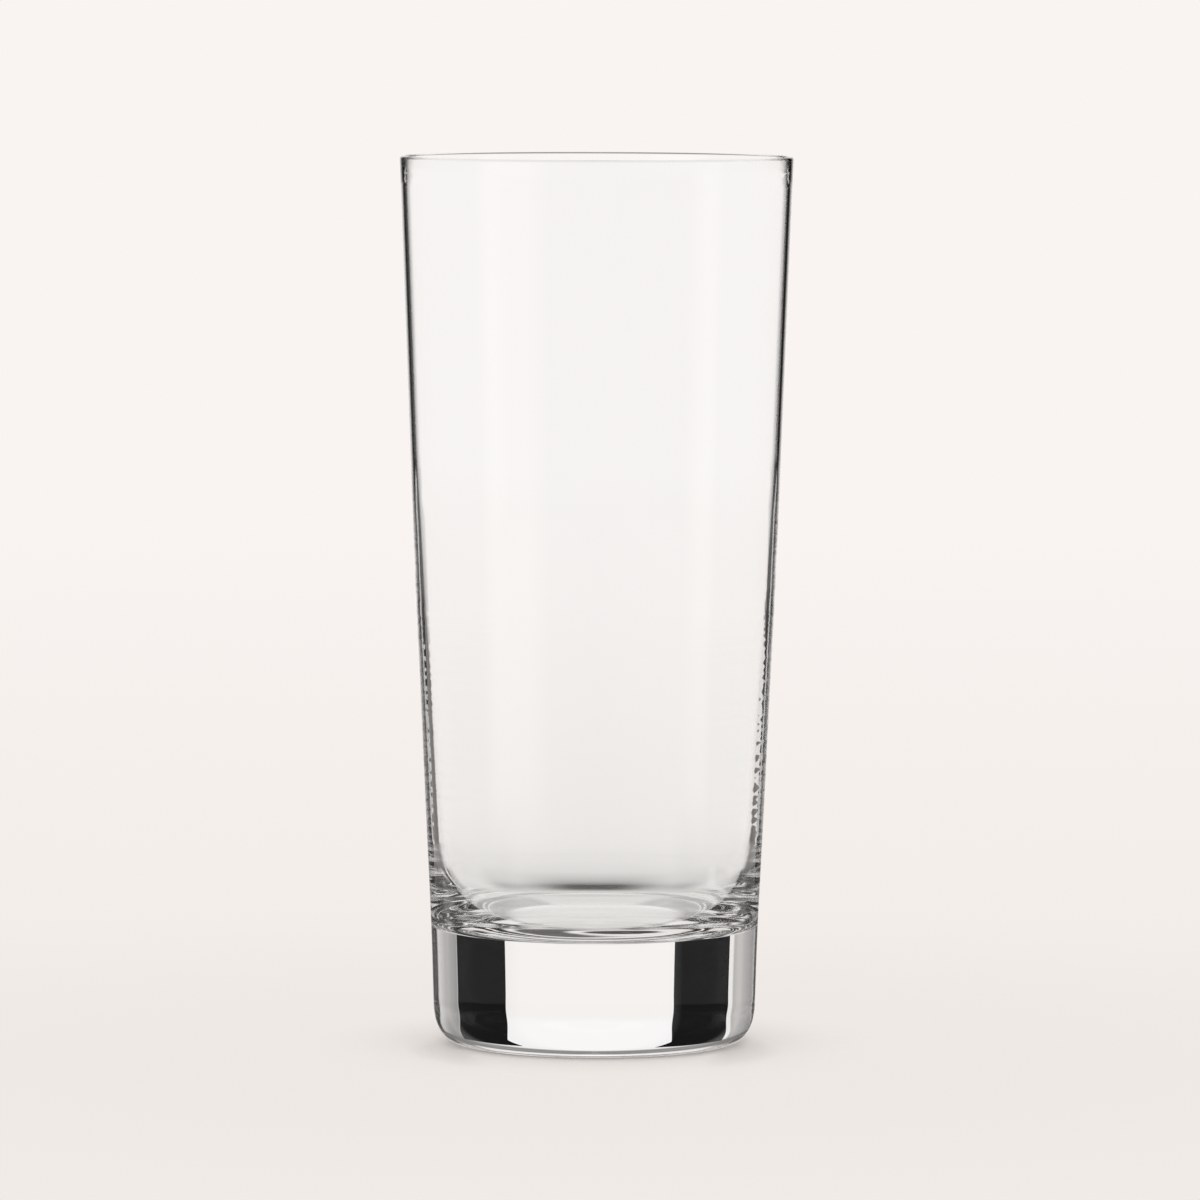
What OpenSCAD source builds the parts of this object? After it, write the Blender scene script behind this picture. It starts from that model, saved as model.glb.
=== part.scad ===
// Tall tapered drinking glass with a thin wall and a thick solid foot.
// It is a single piece of clear glass, so it has one sub-part.
// The origin is the middle of the underside, at table level, and +Z is up.

/* [Outside] */
// Height from the table to the top of the rim
glass_h = 144; // [120:0.5:180]
// Outer diameter at the rim
rim_d = 63.7; // [60:0.1:80]
// Height at which the outside changes its taper
bend_h = 72; // [60:0.5:90]
// Outer diameter at that height
bend_d = 58.3; // [55:0.1:60]
// Height of the solid foot's upright band
foot_h = 18; // [15:0.5:24]
// Outer diameter at the top of that band
foot_top_d = 53.05; // [52:0.05:55]
// Outer diameter that the foot's side would reach at the table
foot_d = 52; // [49:0.1:53]

/* [Foot] */
// Height of the heel, where the side rounds into the underside
heel_h = 7; // [3:0.1:9]
// Width of the heel, inwards
heel_w = 5; // [2:0.1:7]
// Squareness of the heel's curve, 2 for an oval and more for a fuller one
heel_square = 2.6; // [2:0.1:4]
// Diameter of the shallow hollow in the underside
punt_d = 36; // [20:0.5:38]
// Height of that hollow at its middle
punt_h = 0.9; // [0.3:0.1:2]

/* [Hollow] */
// Wall thickness just below the rim
rim_wall = 0.95; // [0.7:0.05:1.6]
// Height at which the wall starts to thicken
thin_h = 92; // [85:0.5:110]
// Wall thickness at that height
thin_wall = 0.95; // [0.7:0.05:1.6]
// Height at which the wall is clearly thicker
thick_h = 68; // [55:0.5:78]
// Wall thickness at that height
thick_wall = 1.5; // [1.2:0.05:2]
// Height of the wall's lower end, above the rounded corner
low_h = 38; // [33:0.5:45]
// Wall thickness at that height
low_wall = 2.25; // [1.6:0.05:3]
// Height of the rounded corner between wall and floor
corner_h = 16.8; // [8:0.2:20]
// Width of that corner, inwards
corner_w = 9; // [6:0.2:14]
// Squareness of that corner's curve, 2 for an oval and more for a fuller one
corner_square = 2.8; // [2:0.1:4]
// Height of the level floor, the thickness of the foot there
floor_h = 18.2; // [12:0.1:22]

/* [Hidden] */

// Radius that blends two tapers of the wall
blend_r = 500;
// Straight pieces in each arc of the outline
arc_steps = 12;
// Straight pieces in the curves of the heel and of the hollow's corner
curve_steps = 18;
// Facets of the displayed mesh round the axis
round_steps = 180;

// A vector's direction
function unit(v) = v / norm(v);

// Points from start to end on the arc about centre, ends included
function arc(centre, start, end, steps) =
    let (u = start - centre, v = end - centre, sweep = acos(unit(u) * unit(v)))
    [for (i = [0 : steps])
        centre + (u * sin(sweep * (steps - i) / steps) + v * sin(sweep * i / steps)) / sin(sweep)];

// The arc of radius r that rounds the corner at b between a and c
function corner(a, b, c, r) =
    let (u = unit(a - b), v = unit(c - b), half = acos(u * v) / 2)
    arc(b + unit(u + v) * r / sin(half), b + u * r / tan(half), b + v * r / tan(half), arc_steps);

// A quarter oval from its upright end at top to its level end, squared off and leaning
// with a side that goes out by run for each unit of height
function squared(top, wide, tall, square, run) =
    [for (i = [0 : curve_steps])
        let (turn = i * 90 / curve_steps,
            in_share = 1 - pow(cos(turn), 2 / square),
            down_share = pow(sin(turn), 2 / square))
        top - [wide * in_share + run * tall * down_share, tall * down_share]];

// Place where the line from a to b reaches height z
function at_height(a, b, z) = a + (b - a) * (z - a[1]) / (b[1] - a[1]);

// The outside from table to rim, as [radius, height]
foot_low = [foot_d / 2, 0];
foot_top = [foot_top_d / 2, foot_h];
bend = [bend_d / 2, bend_h];
rim_out = [rim_d / 2, glass_h];

// Outside radius at height z
function outside_r(z) =
    z > bend_h ? at_height(bend, rim_out, z)[0] : at_height(foot_top, bend, z)[0];

// The inside wall from rim to corner, as [radius, height]
rim_in = rim_out - [rim_wall, 0];
thin_in = [outside_r(thin_h) - thin_wall, thin_h];
thick_in = [outside_r(thick_h) - thick_wall, thick_h];
low_in = [outside_r(low_h) - low_wall, low_h];

// The rim is half a circle across the wall
lip_r = rim_wall / 2;
lip_mid = [rim_d / 2 - lip_r, glass_h - lip_r];
lip = [for (i = [0 : arc_steps])
    lip_mid + lip_r * [cos(i * 180 / arc_steps), sin(i * 180 / arc_steps)]];

// The corner carries on from the wall's line and ends level on the floor
wall_run = (thick_in[0] - low_in[0]) / (thick_h - low_h);
corner_top = low_in + [wall_run, 1] * (floor_h + corner_h - low_h);

// The heel carries on from the foot's side and ends level on the table
foot_run = (foot_top[0] - foot_low[0]) / foot_h;
heel_top = foot_low + [foot_run, 1] * heel_h;
heel = squared(heel_top, heel_w, heel_h, heel_square, foot_run);

// The hollow in the underside is a shallow cap that ends on the contact ring
punt_rim = [punt_d / 2, 0];
punt_r = (punt_rim[0] * punt_rim[0] + punt_h * punt_h) / (2 * punt_h);

// Half of the glass's section, from the middle of the underside round to the
// middle of the floor
section = concat(
    arc([0, punt_h - punt_r], [0, punt_h], punt_rim, arc_steps),
    [for (i = [0 : curve_steps]) heel[curve_steps - i]],
    corner(foot_low, foot_top, bend, blend_r),
    corner(foot_top, bend, rim_out, blend_r),
    lip,
    corner(rim_in, thin_in, thick_in, blend_r),
    corner(thin_in, thick_in, low_in, blend_r),
    squared(corner_top, corner_w, corner_h, corner_square, wall_run),
    [[0, floor_h]]
);

// The whole glass: wall, rim and foot turned from one section
module tumbler() {
    color([0.9, 0.94, 0.94, 0.45])
        rotate_extrude($fn = round_steps)
            polygon(section);
}

tumbler();
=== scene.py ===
# A tall clear drinking glass on a pale studio floor, seen a little from above.
import bpy
import math
from mathutils import Matrix, Vector, noise


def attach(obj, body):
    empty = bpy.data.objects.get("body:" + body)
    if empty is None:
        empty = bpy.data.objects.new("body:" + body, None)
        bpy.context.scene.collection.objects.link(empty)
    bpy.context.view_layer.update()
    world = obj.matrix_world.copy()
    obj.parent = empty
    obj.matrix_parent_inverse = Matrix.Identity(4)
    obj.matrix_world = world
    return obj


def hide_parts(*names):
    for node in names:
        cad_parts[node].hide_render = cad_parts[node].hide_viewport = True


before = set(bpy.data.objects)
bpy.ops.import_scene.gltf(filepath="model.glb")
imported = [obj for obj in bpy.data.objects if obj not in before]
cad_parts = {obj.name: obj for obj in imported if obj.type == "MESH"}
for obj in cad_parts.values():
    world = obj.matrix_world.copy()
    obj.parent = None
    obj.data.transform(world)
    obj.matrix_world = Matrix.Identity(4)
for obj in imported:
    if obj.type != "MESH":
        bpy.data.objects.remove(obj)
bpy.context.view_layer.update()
scene = bpy.context.scene
mm = 0.001
bounces = 200  # light is led far down the wall before it leaves


def grey(level):
    return (level, level, level, 1)


# Shader wiring: a Wire is one socket, and maths on wires adds nodes to its tree
class Wire:
    def __init__(self, nodes, socket):
        self.nodes = nodes
        self.socket = socket

    def __add__(self, other):
        return self.nodes.maths("ADD", self, other)

    def __radd__(self, other):
        return self.nodes.maths("ADD", other, self)

    def __sub__(self, other):
        return self.nodes.maths("SUBTRACT", self, other)

    def __rsub__(self, other):
        return self.nodes.maths("SUBTRACT", other, self)

    def __mul__(self, other):
        return self.nodes.maths("MULTIPLY", self, other)

    def __rmul__(self, other):
        return self.nodes.maths("MULTIPLY", other, self)

    def __gt__(self, other):
        return self.nodes.maths("GREATER_THAN", self, other)

    def __abs__(self):
        return self.nodes.maths("ABSOLUTE", self)


class Nodes:
    def __init__(self, tree):
        self.tree = tree
        tree.nodes.clear()

    # Any node: its settings are set first, then its sockets take values or links
    def add(self, kind, settings=None, values=None, out=0):
        node = self.tree.nodes.new(kind)
        for name, value in (settings or {}).items():
            setattr(node, name, value)
        for name, value in (values or {}).items():
            if isinstance(value, Wire):
                self.tree.links.new(value.socket, node.inputs[name])
            else:
                node.inputs[name].default_value = value
        return Wire(self, node.outputs[out])

    def maths(self, operation, *terms):
        return self.add("ShaderNodeMath", {"operation": operation}, dict(enumerate(terms)))

    # From 0 to 1 as the value goes from start to end, or back if start is the larger
    def ease(self, value, start, end):
        settings = {"interpolation_type": "SMOOTHSTEP"}
        values = {"Value": value, "From Min": start, "From Max": end}
        return self.add("ShaderNodeMapRange", settings, values)

    # The same in a straight line
    def share(self, value, start, end):
        values = {"Value": value, "From Min": start, "From Max": end}
        return self.add("ShaderNodeMapRange", None, values)

    def ramp(self, value, stops):
        colours = self.add("ShaderNodeValToRGB", None, {"Fac": value})
        node = colours.socket.node
        while len(node.color_ramp.elements) < len(stops):
            node.color_ramp.elements.new(0.5)
        for element, (place, colour) in zip(node.color_ramp.elements, stops):
            element.position = place
            element.color = colour
        return colours

    # A grey ramp, from stops of (value, level)
    def levels(self, value, stops):
        return self.ramp(value, [(place, grey(level)) for place, level in stops])

    def blend(self, factor, first, second):
        settings = {"data_type": "RGBA"}
        return self.add("ShaderNodeMix", settings, {0: factor, 6: first, 7: second}, out=2)

    def times(self, first, second):
        return self.add("ShaderNodeVectorMath", {"operation": "MULTIPLY"}, {0: first, 1: second})

    def length(self, vector):
        return self.add("ShaderNodeVectorMath", {"operation": "LENGTH"}, {0: vector}, out="Value")

    def axis(self, vector, name):
        return self.add("ShaderNodeSeparateXYZ", None, {0: vector}, out=name)

    def noise(self, vector, scale, detail):
        values = {"Vector": vector, "Scale": scale, "Detail": detail}
        return self.add("ShaderNodeTexNoise", None, values)

    def mixed(self, factor, first, second):
        return self.add("ShaderNodeMixShader", None, {0: factor, 1: first, 2: second})

    def finish(self, shader, kind="ShaderNodeOutputMaterial"):
        self.tree.links.new(shader.socket, self.tree.nodes.new(kind).inputs["Surface"])


def newTree(name):
    material = bpy.data.materials.new(name)
    material.use_nodes = True
    return material, Nodes(material.node_tree)


def newObject(name, data):
    item = bpy.data.objects.new(name, data)
    scene.collection.objects.link(item)
    return item


# Outline of the glass, in millimetres, as the part's own drawing has it
tumbler = {
    "height": 144,
    "rimDiameter": 63.7,
    "bendHeight": 72,
    "bendDiameter": 58.3,
    "footHeight": 18,
    "footTopDiameter": 53.05,
    "footDiameter": 52,
    "heelHeight": 7,
    "heelWidth": 5,
    "heelSquareness": 2.6,
    "puntDiameter": 36,
    "puntHeight": 0.9,
    "rimWall": 0.95,
    "thinHeight": 92,
    "thinWall": 0.95,
    "thickHeight": 68,
    "thickWall": 1.5,
    "lowHeight": 38,
    "lowWall": 2.25,
    "cornerWidth": 9,
    "cornerHeight": 16.8,
    "cornerSquareness": 2.8,
    "floorHeight": 18.2,
    "blendRadius": 500,
    "around": 176,  # points round each ring
    "puntSteps": 24,  # steps along the section's curves
    "heelSteps": 48,
    "blendSteps": 12,
    "lipSteps": 7,
    "thickSteps": 72,
    "cornerSteps": 96,
    "ringGap": 0.6,  # and about how long they are on its straight lines, in millimetres
    "footGap": 1,
    "lowerGap": 3,
    "upperGap": 5,
    "thickeningGap": 0.5,
    "rippleGap": 0.28,
    "floorGap": 1,
}


def unit(v):
    return v.normalized()


def arc(centre, start, end, steps):
    u, v = start - centre, end - centre
    sweep = u.angle(v)
    points = []
    for i in range(steps + 1):
        reach = u * math.sin(sweep * (1 - i / steps)) + v * math.sin(sweep * i / steps)
        points.append(centre + reach / math.sin(sweep))
    return points


def corner(a, b, c, radius, steps):
    u, v = unit(a - b), unit(c - b)
    half = u.angle(v) / 2
    middle = b + unit(u + v) * radius / math.sin(half)
    return arc(middle, b + u * radius / math.tan(half), b + v * radius / math.tan(half), steps)


def straight(a, b, gap):
    steps = max(1, round((b - a).length / gap))
    return [a.lerp(b, i / steps) for i in range(1, steps)]


def atHeight(a, b, height):
    return a + (b - a) * (height - a.y) / (b.y - a.y)


# A quarter oval from its upright end at top to its level end, squared off and leaning
def squared(top, wide, tall, squareness, run, steps):
    power = 2 / squareness
    turns = [math.pi / 2 * i / steps for i in range(steps + 1)]
    shares = [(1 - math.cos(turn) ** power, math.sin(turn) ** power) for turn in turns]
    return [
        top - Vector((wide * across + run * tall * down, tall * down))
        for across, down in shares
    ]


# The section, as two lists of (radius, height): the outside from the middle of the
# underside to the lip, and the inside from the lip to the middle of the floor
def glassSection(t):
    footLow = Vector((t["footDiameter"] / 2, 0))
    footTop = Vector((t["footTopDiameter"] / 2, t["footHeight"]))
    bend = Vector((t["bendDiameter"] / 2, t["bendHeight"]))
    rimOut = Vector((t["rimDiameter"] / 2, t["height"]))
    rimIn = rimOut - Vector((t["rimWall"], 0))

    thinIn = atHeight(bend, rimOut, t["thinHeight"]) - Vector((t["thinWall"], 0))
    thickIn = atHeight(footTop, bend, t["thickHeight"]) - Vector((t["thickWall"], 0))
    lowIn = atHeight(footTop, bend, t["lowHeight"]) - Vector((t["lowWall"], 0))

    lipRadius = t["rimWall"] / 2
    lipMiddle = Vector((rimOut.x - lipRadius, t["height"] - lipRadius))
    lipOut = lipMiddle + Vector((lipRadius, 0))
    lipTop = lipMiddle + Vector((0, lipRadius))
    lipIn = lipMiddle - Vector((lipRadius, 0))

    run = (thickIn.x - lowIn.x) / (t["thickHeight"] - t["lowHeight"])
    cornerTop = lowIn + Vector((run, 1)) * (t["floorHeight"] + t["cornerHeight"] - t["lowHeight"])
    cornerShape = (t["cornerWidth"], t["cornerHeight"], t["cornerSquareness"])
    cornerArc = squared(cornerTop, *cornerShape, run, t["cornerSteps"])
    floorMiddle = Vector((0, t["floorHeight"]))

    footRun = (footTop.x - footLow.x) / t["footHeight"]
    heelTop = footLow + Vector((footRun, 1)) * t["heelHeight"]
    heelShape = (t["heelWidth"], t["heelHeight"], t["heelSquareness"])
    heel = squared(heelTop, *heelShape, footRun, t["heelSteps"])[::-1]

    puntRim = Vector((t["puntDiameter"] / 2, 0))
    puntTop = Vector((0, t["puntHeight"]))
    puntRadius = (puntRim.x * puntRim.x + t["puntHeight"] * t["puntHeight"]) / (2 * t["puntHeight"])
    puntMiddle = Vector((0, t["puntHeight"] - puntRadius))

    underside = arc(puntMiddle, puntTop, puntRim, t["puntSteps"])
    footBlend = corner(footLow, footTop, bend, t["blendRadius"], t["blendSteps"])
    bendBlend = corner(footTop, bend, rimOut, t["blendRadius"], t["blendSteps"])
    outside = (
        underside + straight(puntRim, heel[0], t["ringGap"]) + heel
        + straight(heel[-1], footBlend[0], t["footGap"]) + footBlend
        + straight(footBlend[-1], bendBlend[0], t["lowerGap"]) + bendBlend
        + straight(bendBlend[-1], lipOut, t["upperGap"])
        + arc(lipMiddle, lipOut, lipTop, t["lipSteps"])
    )

    thinBlend = corner(rimIn, thinIn, thickIn, t["blendRadius"], t["blendSteps"])
    thickBlend = corner(thinIn, thickIn, lowIn, t["blendRadius"], t["thickSteps"])
    inside = (
        arc(lipMiddle, lipTop, lipIn, t["lipSteps"])[1:]
        + straight(lipIn, thinBlend[0], t["upperGap"]) + thinBlend
        + straight(thinBlend[-1], thickBlend[0], t["thickeningGap"]) + thickBlend
        + straight(thickBlend[-1], cornerTop, t["rippleGap"]) + cornerArc
        + straight(cornerArc[-1], floorMiddle, t["floorGap"]) + [floorMiddle]
    )
    return outside, inside


# Faint ripples that the making leaves on the inside of the thick lower wall, finer
# high up and broader by the corner
waves = {
    "depth": 0.004,  # millimetres
    "cornerDepth": 0.005,
    "spacing": 0.8,
    "cornerSpacing": 2.5,
    "round": 20,  # millimetres along the wall
    "top": 84,  # they fade in below this height
    "full": 66,
    "cornerStart": 44,  # the broader ones take over from here
    "cornerFull": 26,
    "bottomFull": 27,  # and out again in the corner
    "bottom": 20,
    "seed": 11,
}


def rise(value, low, high):
    share = min(1, max(0, (value - low) / (high - low)))
    return share * share * (3 - 2 * share)


def waveDepth(angle, point, w):
    fadeIn = 1 - rise(point.y, w["full"], w["top"])
    strength = fadeIn * rise(point.y, w["bottom"], w["bottomFull"])
    if strength == 0:
        return 0
    low = 1 - rise(point.y, w["cornerFull"], w["cornerStart"])
    turns = point.x / w["round"]
    place = Vector((turns * math.cos(angle), turns * math.sin(angle), 0))
    fine = noise.noise(place + Vector((w["seed"], 0, point.y / w["spacing"])))
    broad = noise.noise(place + Vector((0, w["seed"], point.y / w["cornerSpacing"])))
    return strength * (w["depth"] * (1 - low) * fine + w["cornerDepth"] * low * broad)


def makeTumbler(t):
    outside, inside = glassSection(t)
    section = outside + inside
    around = t["around"]
    points = [Vector((0, 0, section[0].y)) * mm]
    for place, ring in enumerate(section[1:-1], 1):
        for i in range(around):
            angle = 2 * math.pi * i / around
            radius = ring.x
            if place >= len(outside):
                radius += waveDepth(angle, ring, waves)
            points.append(Vector((radius * math.cos(angle), radius * math.sin(angle), ring.y)) * mm)
    points.append(Vector((0, 0, section[-1].y)) * mm)

    faces = []
    rings = len(section) - 2
    last = len(points) - 1
    for i in range(around):
        j = (i + 1) % around
        faces.append((0, 1 + j, 1 + i))
        for ring in range(rings - 1):
            a = 1 + ring * around
            b = a + around
            faces.append((a + i, a + j, b + j, b + i))
        a = 1 + (rings - 1) * around
        faces.append((last, a + i, a + j))

    mesh = bpy.data.meshes.new("tumblerGlass")
    mesh.from_pydata(points, [], faces)
    mesh.validate()
    mesh.shade_smooth()
    return newObject("tumblerGlass", mesh)


# Clear soda glass, a shade greener in the thick foot, with the faint streaks of the gather
clearGlass = {
    "wallColour": (0.990, 0.994, 0.993, 1),
    "footColour": (0.986, 0.992, 0.990, 1),
    "streakColour": (0.9885, 0.993, 0.9915, 1),
    "foot": (0.034, 0.016),  # metres up, where its colour begins and is full
    "streaks": (0.5, 0.8),  # where the noise begins to be a streak, and where it is one
    "streakSize": (60, 60, 12),  # how many to the metre, so they are long upwards
    "streakDetail": 2,
    "bend": 1.52,  # refractive index
    "polish": 0.0,
}


def makeClearGlass(g):
    material, n = newTree("clearGlass")
    place = n.add("ShaderNodeTexCoord", out="Object")
    foot = n.ease(n.axis(place, "Z"), *g["foot"])
    streak = n.noise(n.times(place, g["streakSize"]), 1, g["streakDetail"])
    tint = n.blend(foot, g["wallColour"], g["footColour"])
    tint = n.blend(n.ease(streak, *g["streaks"]), tint, g["streakColour"])
    values = {
        "Base Color": tint,
        "IOR": g["bend"],
        "Transmission Weight": 1,
        "Roughness": g["polish"],
    }
    n.finish(n.add("ShaderNodeBsdfPrincipled", None, values))
    return material


# Rings of (radius, height) turned round the middle, for the floor and the backdrop
def turned(name, rings, around, shaded):
    points = []
    for ring in rings:
        for i in range(around):
            angle = 2 * math.pi * i / around
            points.append((ring[0] * math.cos(angle), ring[0] * math.sin(angle), ring[1]))
    faces = []
    for k in range(len(rings) - 1):
        for i in range(around):
            j = (i + 1) % around
            a, b = k * around, (k + 1) * around
            faces.append((a + i, b + i, b + j, a + j))
    mesh = bpy.data.meshes.new(name)
    mesh.from_pydata(points, [], faces)
    if shaded:
        mesh.shade_smooth()
    item = newObject(name, mesh)
    return item


def hideFrom(item, rays):
    for ray in rays:
        setattr(item, "visible_" + ray, False)


# Limits on how many glass surfaces a ray has passed, or how often it has been mirrored
rayCounts = {
    "once": 0.5,  # at least once
    "twice": 1.5,
    "oneWall": 2.5,  # more than in and out of one wall
    "piped": 40,
}


# Which way a ray has come, as switches of 0 or 1. The first four are 0 for the rays that
# only light the floor.
def rayKinds(n, c=rayCounts):
    passed = n.add("ShaderNodeLightPath", out="Transmission Depth")
    mirrored = n.add("ShaderNodeLightPath", out="Glossy Depth")
    lighting = n.add("ShaderNodeLightPath", out="Diffuse Depth") > c["once"]
    entered = passed > c["once"]
    glossy = mirrored > c["once"]
    beyond = passed > c["oneWall"]
    inGlass = (1 - beyond) * (1 - lighting)
    return {
        "straight": inGlass * entered * (1 - glossy),
        "outer": inGlass * (1 - entered) * glossy,
        "inner": inGlass * entered * glossy,
        "hollow": beyond * (1 - lighting),
        "again": mirrored > c["twice"],
        "piped": mirrored > c["piped"],
        "lighting": lighting,
    }


# Degrees from straight behind the glass, to the right and, with a minus, to the left
def degreesRound(n, place):
    return n.maths("ARCTAN2", n.axis(place, "X"), n.axis(place, "Y")) * (180 / math.pi)


def levelsRound(n, degrees, levels):
    stops = [((angle + 180) / 360, level) for angle, level in levels]
    return n.levels(degrees * (1 / 360) + 0.5, stops)


def levelsAside(n, degrees, levels):
    return n.levels(abs(degrees) * (1 / 180), [(angle / 180, level) for angle, level in levels])


# Studio: a floor and a curved backdrop of one pale paper. It gives its own light, but near
# the glass the floor takes light and shadow instead.
studio = {
    # The paper is painted darker in front and lighter far back: painted shade for the fall of the
    # studio light
    "nearColour": (0.871, 0.823, 0.791, 1),
    "farColour": (0.950, 0.904, 0.881, 1),
    "nearPlace": -0.35,  # metres behind the glass, where each of these colours is reached
    "farPlace": 1.3,
    "shadowRound": (  # how much the floor takes light and shadow, by metres from the middle
        (0, 1), (0.022, 1), (0.024, 0.84), (0.028, 0.5), (0.032, 0.35), (0.036, 0.22),
        (0.040, 0.1), (0.045, 0), (1, 0)),
    "shadowBeside": (  # and more right beside the foot, by metres from shadowPlace
        (0, 1), (0.026, 0.95), (0.0274, 0.75), (0.0285, 0.55), (0.0295, 0.37), (0.031, 0.25),
        (0.034, 0.15), (0.040, 0.05), (0.046, 0), (1, 0)),
    "shadowPlace": (0, -0.010, 0),
    "beside": (0.014, 0.022),  # metres to either side, where that begins and is full
    "underRadius": 0.026,  # inside this, seen through the hollow, it gives its own light
    "underFade": 0.002,
    "wideShadow": 0.035,  # the soft shade round the glass
    "wideShadowFade": (0.05, 0.22),
    "floorMiddle": 0.002,  # radius of the floor's first ring
    "nearRings": 30,
    "nearStep": 0.01,
    "farRings": 15,
    "farStep": 0.1,
    "around": 96,  # points round each ring
    "backdropRadius": 1.7,
    "backdropHeight": 1.2,
    "backdropCurve": 0.35,
    "curveSteps": 24,
    "hole": (0.17, 0.28),  # paper nearer than this isn't mirrored by the outside of the glass
    "forward": 38,  # nor is it within so many degrees of straight behind the glass
    "throughPaintedLight": (1.012, 1.034, 1.048),  # painted light: the paper seen through the hollow is made brighter and cooler
    "throughShade": (  # how bright the floor looks through the hollow, by metres from the middle
        (0, 0.8), (0.026, 0.8), (0.028, 0.9), (0.030, 0.95), (0.0325, 0.74), (0.035, 0.6),
        (0.0375, 0.36), (0.0395, 0.1), (0.0415, 0.03), (0.050, 0.03), (0.053, 0.16),
        (0.056, 0.34), (0.060, 0.44), (0.066, 0.56), (0.077, 0.71), (0.09, 0.83), (0.13, 0.88),
        (0.2, 0.93), (0.5, 0.98), (0.8, 1)),
    "asideShade": (  # the same, away from the middle of the view
        (0, 0.8), (0.022, 0.78), (0.026, 0.84), (0.030, 0.9), (0.034, 0.74), (0.040, 0.6),
        (0.045, 0.52), (0.050, 0.6), (0.056, 0.74), (0.066, 0.82), (0.09, 0.9), (0.13, 0.92),
        (0.2, 0.95), (0.5, 0.98), (0.8, 1)),
    "wideShade": (  # and further aside
        (0, 0.8), (0.0175, 0.8), (0.0195, 0.5), (0.025, 0.48), (0.029, 0.68), (0.034, 0.82),
        (0.045, 0.9), (0.06, 0.94), (0.13, 0.97), (0.5, 0.99), (0.8, 1)),
    "aside": (3, 17),  # degrees to either side where each of these begins and is full
    "wide": (20, 29),
    "paintedHighlights": (  # painted highlights: how bright the far floor looks mirrored in the glass's front, by degrees
        (-180, 1.3), (-152, 1.3), (-140, 2.0), (-116, 2.0), (-104, 1.0), (-60, 1.0), (60, 1.0),
        (100, 1.0), (106, 1.6), (116, 1.6), (124, 1.3), (180, 1.3)),
}


# The paper of the floor and the backdrop, as each kind of ray sees it
def studioColour(n, s, place, kinds):
    far = n.share(n.axis(place, "Y"), s["nearPlace"], s["farPlace"])
    colour = n.blend(far, s["nearColour"], s["farColour"])
    distance = n.length(place)
    degrees = degreesRound(n, place)
    shade = n.levels(distance, s["throughShade"])
    aside = n.levels(distance, s["asideShade"])
    wide = n.levels(distance, s["wideShade"])
    shade = n.blend(n.ease(abs(degrees), *s["aside"]), shade, aside)
    shade = n.blend(n.ease(abs(degrees), *s["wide"]), shade, wide)
    # The paper seen through the hollow gets painted shade by distance and painted brighter, cooler
    # light
    hollow = n.times(n.times(colour, shade), s["throughPaintedLight"])
    # Painted highlights: the paper mirrored in the glass's outside is made brighter in bands where
    # soft lamps would be
    mirrored = n.times(colour, levelsRound(n, degrees, s["paintedHighlights"]))
    soft = 1 - s["wideShadow"] * (1 - n.ease(distance, *s["wideShadowFade"]))
    shadowed = n.times(colour, n.add("ShaderNodeCombineXYZ", None, {0: soft, 1: soft, 2: soft}))
    return n.blend(kinds["outer"], n.blend(kinds["hollow"], shadowed, hollow), mirrored)


# Where the paper is left out: for rays that have passed only the foot or one wall, and near
# the glass or straight behind it for what its outside mirrors
def paperGaps(n, s, place, kinds):
    ahead = 1 - (abs(degreesRound(n, place)) > s["forward"])
    hole = n.maths("MAXIMUM", 1 - n.ease(n.length(place), *s["hole"]), ahead)
    return kinds["straight"] + kinds["inner"] + kinds["outer"] * hole


def makePaper(s, name, lit):
    material, n = newTree(name)
    place = n.add("ShaderNodeTexCoord", out="Object")
    kinds = rayKinds(n)
    colour = studioColour(n, s, place, kinds)
    paper = n.add("ShaderNodeEmission", None, {"Color": colour})
    if lit:
        distance = n.length(place)
        ends = {0: place, 1: s["shadowPlace"]}
        away = n.add("ShaderNodeVectorMath", {"operation": "DISTANCE"}, ends, out="Value")
        beside = n.ease(abs(n.axis(place, "X")), *s["beside"])
        beside = n.levels(away, s["shadowBeside"]) * beside
        own = 1 - n.maths("MAXIMUM", n.levels(distance, s["shadowRound"]), beside)
        under = 1 - n.ease(distance, s["underRadius"], s["underRadius"] + s["underFade"])
        own = n.maths("MAXIMUM", own, kinds["hollow"] * under)
        diffuse = n.add("ShaderNodeBsdfDiffuse", None, {"Color": colour})
        paper = n.mixed(own, diffuse, paper)
    clear = n.add("ShaderNodeBsdfTransparent")
    n.finish(n.mixed(paperGaps(n, s, place, kinds), paper, clear))
    return material


def makeFloor(s):
    near = [s["nearStep"] * i for i in range(1, s["nearRings"])]
    far = [s["nearStep"] * s["nearRings"] + s["farStep"] * i for i in range(s["farRings"])]
    rings = [(radius, 0) for radius in [s["floorMiddle"]] + near + far]
    floor = turned("floor", rings, s["around"], False)
    floor.data.materials.append(makePaper(s, "floorPaper", True))


def makeBackdrop(s):
    radius, curve, steps = s["backdropRadius"], s["backdropCurve"], s["curveSteps"]
    bend = [math.pi / 2 * i / steps for i in range(steps + 1)]
    rings = [(radius - curve + curve * math.sin(a), curve * (1 - math.cos(a))) for a in bend]
    backdrop = turned("backdrop", rings + [(radius, s["backdropHeight"])], s["around"], True)
    backdrop.data.materials.append(makePaper(s, "backdropPaper", False))
    hideFrom(backdrop, ("diffuse", "shadow", "volume_scatter"))


# Dark cards stand behind the glass, just out of frame. Only rays that have passed the foot
# or one wall, and haven't been mirrored, see them.
cards = {
    "sides": {  # which way each stands, and how far out its near and far edges are
        "cardLeft": (-1, 0.138, 0.373),
        "cardRight": (1, 0.160, 0.395),
    },
    "lean": 0.035,  # how far the near edge leans in above the kink
    "back": 0.4,
    "low": -0.05,
    "kink": 0.064,
    "nearTop": 0.108,
    "farTop": 0.19,
    "colour": (0.006, 0.006, 0.0065, 1),
}


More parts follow.
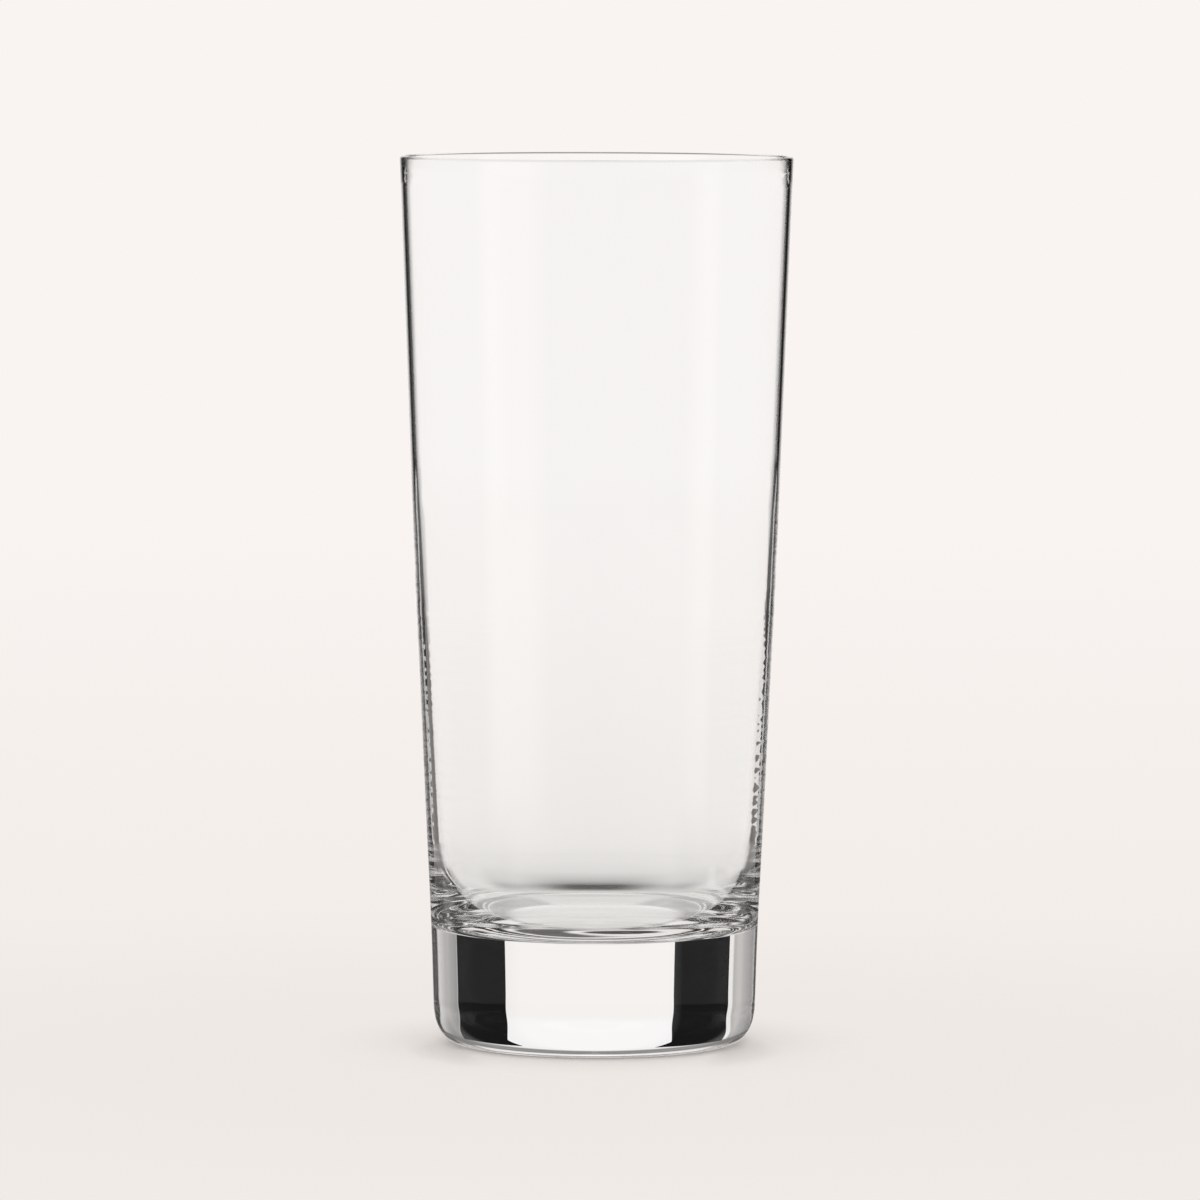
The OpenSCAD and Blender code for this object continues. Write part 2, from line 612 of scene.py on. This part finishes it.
def makeCards(c):
    material, n = newTree("blackCard")
    black = n.add("ShaderNodeEmission", None, {"Color": c["colour"]})
    clear = n.add("ShaderNodeBsdfTransparent")
    n.finish(n.mixed(rayKinds(n)["straight"], clear, black))
    for name, (side, near, far) in c["sides"].items():
        edges = [
            (near, c["low"]), (far, c["low"]), (far, c["farTop"]),
            (near - c["lean"], c["nearTop"]), (near, c["kink"])]
        corners = [(side * x, c["back"], z) for x, z in edges]
        mesh = bpy.data.meshes.new(name)
        mesh.from_pydata(corners, [], [tuple(range(len(corners)))])
        card = newObject(name, mesh)
        card.data.materials.append(material)
        hideFrom(card, ("camera", "diffuse", "glossy", "shadow", "volume_scatter"))


# How bright the room is round the horizon, from straight behind the glass at 0 degrees
# to the camera's side at 180, to the right and, with a minus, to the left
room = {
    "straight": (  # for light that has come straight through the foot or one wall
        (-180, 0.8), (-100, 0.3), (-96, 0.1), (-78.5, 0.05), (-77, 0.8), (-75.5, 0.8),
        (-72, 0.55), (-63, 0.56), (-58, 0.57), (-52, 0.6), (-50, 0.53), (-48.6, 0.5), (-48, 1.0),
        (46.2, 1.0), (46.8, 0.34), (50, 0.375), (53, 0.4), (56, 0.47), (58.4, 0.55), (61, 0.7),
        (64, 0.84), (66.5, 1.0), (68.5, 1.0), (70.5, 0.05), (96, 0.1), (102, 0.3), (180, 0.8)),
    # The next six go by degrees to either side
    "mirror": (  # mirrored by the outside
        (0, 1.08), (6, 1.05), (10, 0.9), (13.5, 0.65), (16, 0.42), (18, 0.18), (20, 0.03),
        (22.5, 0.01), (27, 0.02), (29, 0.08), (31, 0.18), (33, 0.3), (35, 0.5), (38, 0.8),
        (45, 0.85), (60, 0.5), (66, 0.03), (114, 0.03), (126, 1.0), (180, 1.0)),
    "mirrorLow": (  # the same, coming from below
        (0, 1.05), (4, 0.95), (8, 0.6), (12, 0.15), (16, 0.05), (25, 0.02), (32, 0.02),
        (40, 0.05), (46, 0.2), (52, 0.8), (60, 0.5), (66, 0.03), (114, 0.03), (126, 1.0),
        (180, 1.0)),
    "thin": (  # mirrored inside the thin wall
        (0, 0.95), (4, 0.95), (8, 0.85), (11, 0.72), (13.5, 0.6), (15, 0.4), (17, 0.06),
        (18.5, 0.01), (22, 0.02), (24.5, 0.07), (26.5, 0.04), (28, 0.02), (30, 0.1), (32.5, 0.4),
        (36, 0.78), (40, 0.88), (54, 0.9), (110, 0.9), (125, 0.3), (180, 0.3)),
    "thick": (  # mirrored inside the thick wall
        (0, 0.95), (3, 0.6), (5, 0.1), (12, 0.05), (18.5, 0.04), (20, 1.0), (22, 1.0),
        (23.5, 0.04), (30, 0.02), (34, 0.02), (36.5, 0.95), (54, 0.95), (110, 0.9), (125, 0.3),
        (180, 0.3)),
    # Mirrored inside the rim
    "rim": ((0, 0.6), (8, 0.25), (32, 0.2), (38, 0.8), (100, 0.8), (180, 0.3)),
    "below": (  # steeply down, through the foot's underside
        (0, 0.3), (10, 0.15), (25, 0.3), (40, 0.75), (180, 0.85)),
    "swirl": (  # by noise, where the heavy corner sends rays every way
        (0, 0.9), (0.36, 0.9), (0.40, 0.02), (0.455, 0.02), (0.47, 1), (0.49, 1), (0.505, 0.02),
        (0.57, 0.03), (0.60, 0.8), (0.64, 0.9), (0.70, 0.1), (1, 0.1)),
    "swirlSize": 0.8,
    "swirlDetail": 1,
    "behind": (95, 115),  # degrees to either side where the swirls give way to one level
    "behindLevel": 0.05,
    # The next nine go by the height of the ray's direction: where each begins and is full
    "low": (-0.085, -0.105),  # from the thin wall to the thick one
    "smooth": (-0.19, -0.21),  # the rim's own light comes from lower still and is smooth
    "steeplyBelow": (-0.26, -0.5),
    "overRim": (-0.13, -0.18),  # from above, one wall shows the floor to either side
    "steepUp": (0.16, 0.22),
    "steepDown": (-0.33, -0.4),
    "above": (0.28, 0.36),
    "upward": (0.04, 0.12),
    "heel": (0.27, 0.33, 0.46, 0.54),  # and where it begins to fade and is gone
    "overRimAside": (26, 34),  # degrees
    "overRimLevel": 0.94,
    "aboveLevel": 0.95,
    "upwardAside": (40, 46),  # degrees
    "upwardColour": (1.04, 1.06, 1.08, 1),
    "heelLevel": 0.3,
    "hollowLevel": 0.8,  # seen through the hollow
    "wobble": 12,  # degrees by which the thick wall's light and dark waver
    "wobbleSize": (0.05, 34),  # scale of that noise across and upwards
    "wobbleSlice": 0.5,
    "wobbleDetail": 0.5,
    "glint": (0.61, 0.65),  # where the noise begins to be a glint, and where it is one
    "glintAside": (12, 18),  # degrees
    "glintBehind": (60, 80),
    "glintLevel": 0.9,
    "dim": 0.8,  # what a second mirroring takes from the thick wall
    "piped": 0.9,  # level of light that is led along the wall
    "colour": (0.955, 0.92, 0.90),
}


# What the outside of the glass mirrors
def outerLevels(n, r, z, degrees):
    high = levelsAside(n, degrees, r["mirror"])
    mirror = n.blend(n.ease(z, *r["low"]), high, levelsAside(n, degrees, r["mirrorLow"]))
    return n.blend(n.ease(z, *r["above"]), mirror, grey(r["aboveLevel"]))


# Light mirrored inside the glass: the thin wall, the thick wall with its broken bright
# lines, the rim, and the corner, which sends it every way
def innerLevels(n, r, direction, z, degrees, kinds):
    low = n.ease(z, *r["low"])
    aside = abs(degrees)
    across, upwards = r["wobbleSize"]
    spot = {0: degrees * across, 1: z * upwards, 2: r["wobbleSlice"]}
    noisy = n.noise(n.add("ShaderNodeCombineXYZ", None, spot), 1, r["wobbleDetail"])
    wobbly = aside + (noisy - 0.5) * r["wobble"]
    glint = n.ease(noisy, *r["glint"]) * n.ease(aside, *r["glintAside"])
    glint = glint * (1 - n.ease(aside, *r["glintBehind"]))
    thick = n.blend(glint, levelsAside(n, wobbly, r["thick"]), grey(r["glintLevel"]))
    thick = n.blend(n.ease(z, *r["smooth"]), thick, levelsAside(n, degrees, r["rim"]))
    thick = n.blend(kinds["again"] * r["dim"], thick, grey(0))
    inner = n.blend(low, levelsAside(n, degrees, r["thin"]), thick)

    swirl = n.levels(n.noise(direction, r["swirlSize"], r["swirlDetail"]), r["swirl"])
    swirl = n.blend(n.ease(aside, *r["behind"]), swirl, grey(r["behindLevel"]))
    steep = n.maths("MAXIMUM", n.ease(z, *r["steepUp"]), n.ease(z, *r["steepDown"]))
    corner = n.maths("MAXIMUM", steep, kinds["again"] * (1 - low))
    inner = n.blend(corner, inner, swirl)
    return n.blend(kinds["piped"], inner, grey(r["piped"]))


# Light that has come straight through the foot or one wall
def straightLevels(n, r, z, degrees):
    plain = levelsRound(n, degrees, r["straight"])
    level = n.blend(n.ease(z, *r["upward"]), plain, r["upwardColour"])
    level = n.blend(n.ease(abs(degrees), *r["upwardAside"]), level, plain)
    start, full, fading, gone = r["heel"]
    heel = n.ease(z, start, full) * (1 - n.ease(z, fading, gone))
    level = n.blend(heel, level, grey(r["heelLevel"]))
    level = n.blend(n.ease(z, *r["steeplyBelow"]), level, levelsAside(n, degrees, r["below"]))
    overRim = n.ease(z, *r["overRim"]) * n.ease(abs(degrees), *r["overRimAside"])
    return n.blend(overRim, level, grey(r["overRimLevel"]))


def makeWorld(r):
    world = bpy.data.worlds.new("studio")
    world.use_nodes = True
    scene.world = world
    n = Nodes(world.node_tree)
    direction = n.add("ShaderNodeTexCoord", out="Generated")
    degrees = degreesRound(n, direction)
    z = n.axis(direction, "Z")
    kinds = rayKinds(n)
    level = n.blend(kinds["hollow"], grey(1), grey(r["hollowLevel"]))
    level = n.blend(kinds["straight"], level, straightLevels(n, r, z, degrees))
    level = n.blend(kinds["inner"], level, innerLevels(n, r, direction, z, degrees, kinds))
    level = n.blend(kinds["outer"], level, outerLevels(n, r, z, degrees))
    level = n.blend(kinds["lighting"], n.times(level, r["colour"]), grey(1))
    n.finish(n.add("ShaderNodeBackground", None, {"Color": level}), "ShaderNodeOutputWorld")


# The camera, in metres and degrees
view = {
    "away": 1.4,
    "height": 0.17371,
    "tilt": 4.154,  # below level
    "roll": 0.166,
    "aside": 0.00074,
    "lens": 259.55,  # millimetres
    "sensor": 36,
    "clipStart": 0.01,
}


def makeCamera(v):
    data = bpy.data.cameras.new("camera")
    data.lens = v["lens"]
    data.sensor_width = v["sensor"]
    data.clip_start = v["clipStart"]
    camera = newObject("camera", data)
    camera.location = (v["aside"], -v["away"], v["height"])
    camera.rotation_euler = (math.radians(90 - v["tilt"]), 0, 0)
    roll = Matrix.Rotation(math.radians(v["roll"]), 3, "Z")
    camera.rotation_euler = (camera.rotation_euler.to_matrix() @ roll).to_euler()
    scene.camera = camera


glass = makeTumbler(tumbler)
glass.data.materials.append(makeClearGlass(clearGlass))
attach(glass, "root")
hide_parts("tumbler")
print("glass made:", len(glass.data.polygons), "faces")

makeFloor(studio)
makeBackdrop(studio)
makeCards(cards)
makeWorld(room)
makeCamera(view)
scene.view_settings.view_transform = "Standard"
for limit in ("max_bounces", "glossy_bounces", "transmission_bounces"):
    setattr(scene.cycles, limit, bounces)
print("studio and camera made")
